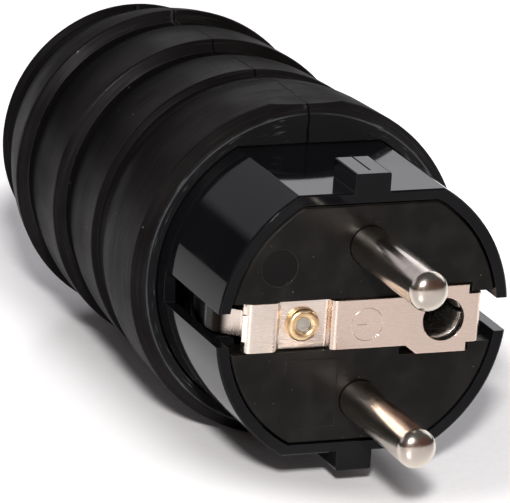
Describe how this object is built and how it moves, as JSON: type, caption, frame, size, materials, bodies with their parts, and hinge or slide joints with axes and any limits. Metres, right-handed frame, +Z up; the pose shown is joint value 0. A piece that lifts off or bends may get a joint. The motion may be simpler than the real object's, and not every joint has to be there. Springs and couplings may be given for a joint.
{
  "type": "rubber electric plug",
  "caption": "Black rubber mains plug with a ribbed grip, a gloss front shell with side keys, round pins, a plated earth strip and an earth pin socket.",
  "frame": {"origin": "middle of the engagement face, halfway between the two pins", "axes": "+Y back along the body to the cord inlet, so the pins point along -Y; +Z up, from one pin to the other; +X to the side with the earth pin socket"},
  "size_m": [0.0424, 0.11, 0.0414],
  "materials": {
    "black_rubber": "matte",
    "gloss_shell": "gloss",
    "carrier_plastic": "matte",
    "nickel_pin": "satin",
    "nickel_strip": "satin",
    "rivet_brass": "polished",
    "terminal_brass": "satin",
    "zinc_steel": "satin"
  },
  "bodies": {
    "root": {"rubber_sleeve": "black_rubber", "front_shell": "gloss_shell", "contact_carrier": "carrier_plastic", "cord_anchor": "carrier_plastic", "cord_saddle": "carrier_plastic", "line_pin": "nickel_pin", "neutral_pin": "nickel_pin", "earth_strip": "nickel_strip", "earth_socket_sleeve": "nickel_strip", "earth_rivet": "rivet_brass", "rivet_washer": "terminal_brass", "earth_terminal": "terminal_brass", "carrier_screws": "zinc_steel", "pin_terminal_screws": "zinc_steel", "earth_terminal_screw": "zinc_steel", "earth_terminal_nut": "zinc_steel", "anchor_screws": "zinc_steel", "saddle_screws": "zinc_steel", "saddle_nuts": "zinc_steel"}
  },
  "joints": []
}
